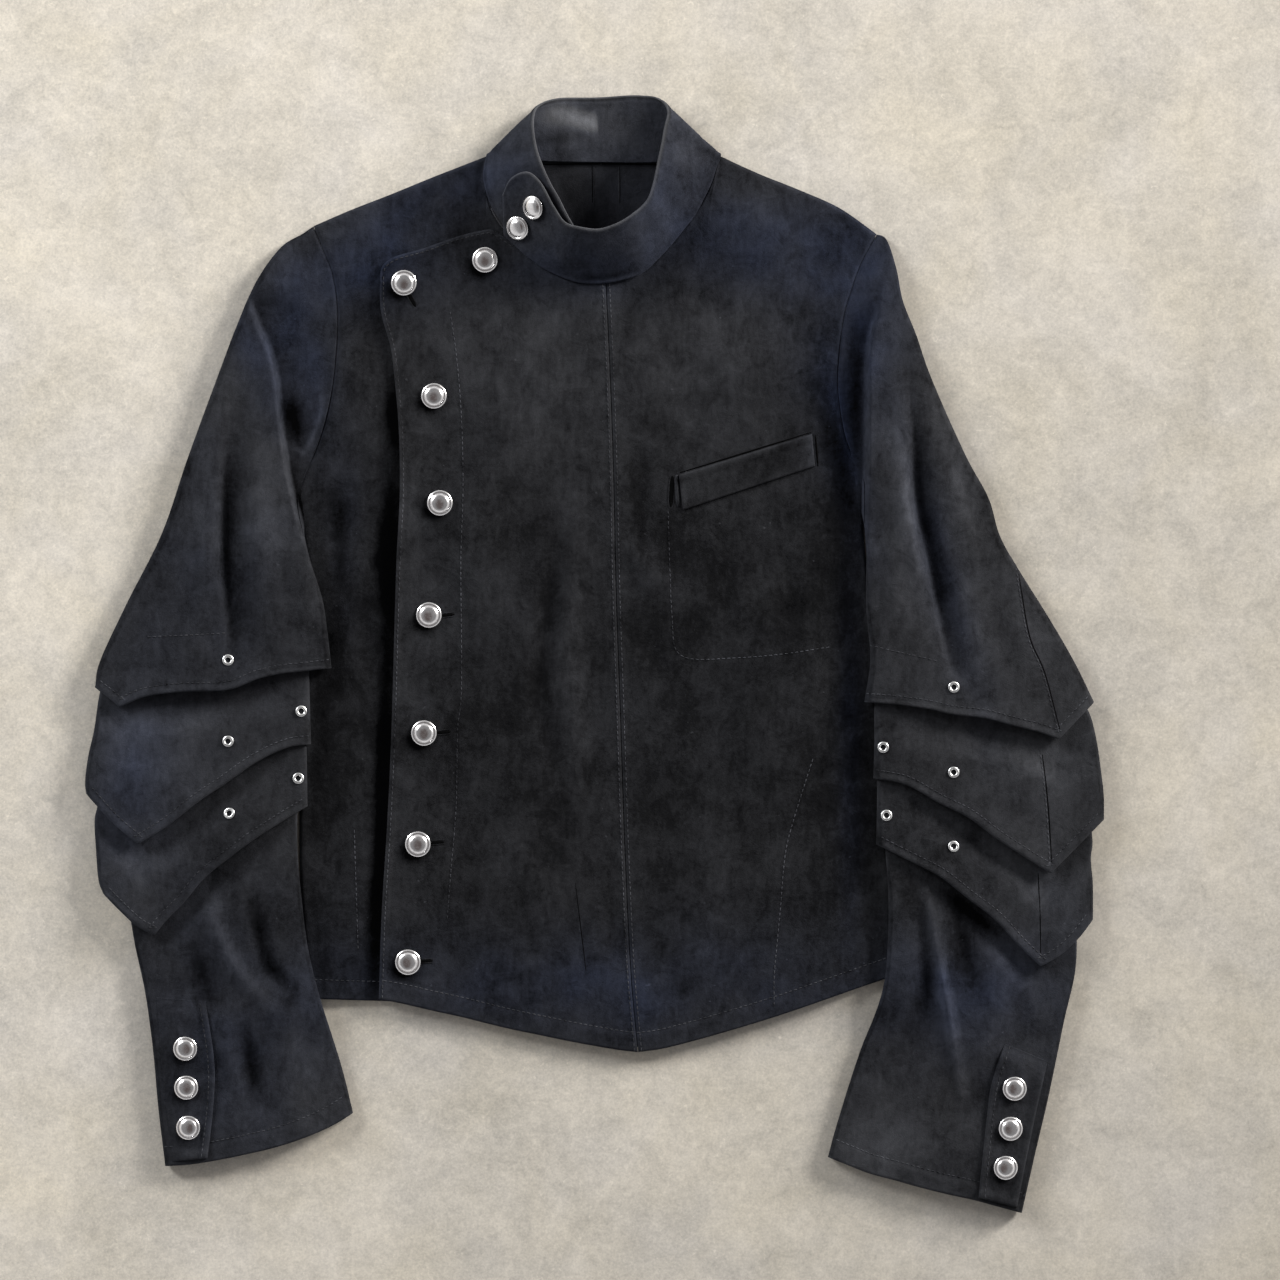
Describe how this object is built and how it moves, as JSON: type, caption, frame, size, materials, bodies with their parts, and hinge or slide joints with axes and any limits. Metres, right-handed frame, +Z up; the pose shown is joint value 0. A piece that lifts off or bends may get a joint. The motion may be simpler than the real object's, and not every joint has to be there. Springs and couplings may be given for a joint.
{
  "type": "stand-collar suede jacket laid flat",
  "caption": "Stand-collar suede jacket laid flat: offset buttoned overlap front, slanted welt pocket, sleeves with overlapping pointed elbow tiers and buttoned cuffs.",
  "frame": {"origin": "centre of the jacket's footprint, on the surface that it lies on", "axes": "+Z up from the surface, +Y from the hem towards the collar, +X towards the wearer's left"},
  "size_m": [0.7638, 0.8386, 0.0349],
  "materials": {
    "suede": "black napped suede, patchy brushed nap",
    "silver": "polished silver",
    "eyelet": "satin nickel"
  },
  "bodies": {
    "root": {"back": "suede", "front_right": "suede", "front_overlap": "suede", "front_left": "suede", "collar": "suede", "pocket_welt": "suede", "upper_sleeve_right": "suede", "upper_sleeve_left": "suede", "tier_2_right": "suede", "tier_2_left": "suede", "tier_3_right": "suede", "tier_3_left": "suede", "lower_sleeve_right": "suede", "lower_sleeve_left": "suede", "cuff_placket_right": "suede", "cuff_placket_left": "suede", "button_front_1": "silver", "button_front_2": "silver", "button_front_3": "silver", "button_front_4": "silver", "button_front_5": "silver", "button_front_6": "silver", "button_front_7": "silver", "button_front_8": "silver", "button_collar_1": "silver", "button_collar_2": "silver", "button_cuff_right_1": "silver", "button_cuff_right_2": "silver", "button_cuff_right_3": "silver", "button_cuff_left_1": "silver", "button_cuff_left_2": "silver", "button_cuff_left_3": "silver", "eyelet_right_1": "eyelet", "eyelet_right_2": "eyelet", "eyelet_right_3": "eyelet", "eyelet_right_4": "eyelet", "eyelet_right_5": "eyelet", "eyelet_left_1": "eyelet", "eyelet_left_2": "eyelet", "eyelet_left_3": "eyelet", "eyelet_left_4": "eyelet", "eyelet_left_5": "eyelet"}
  },
  "joints": []
}
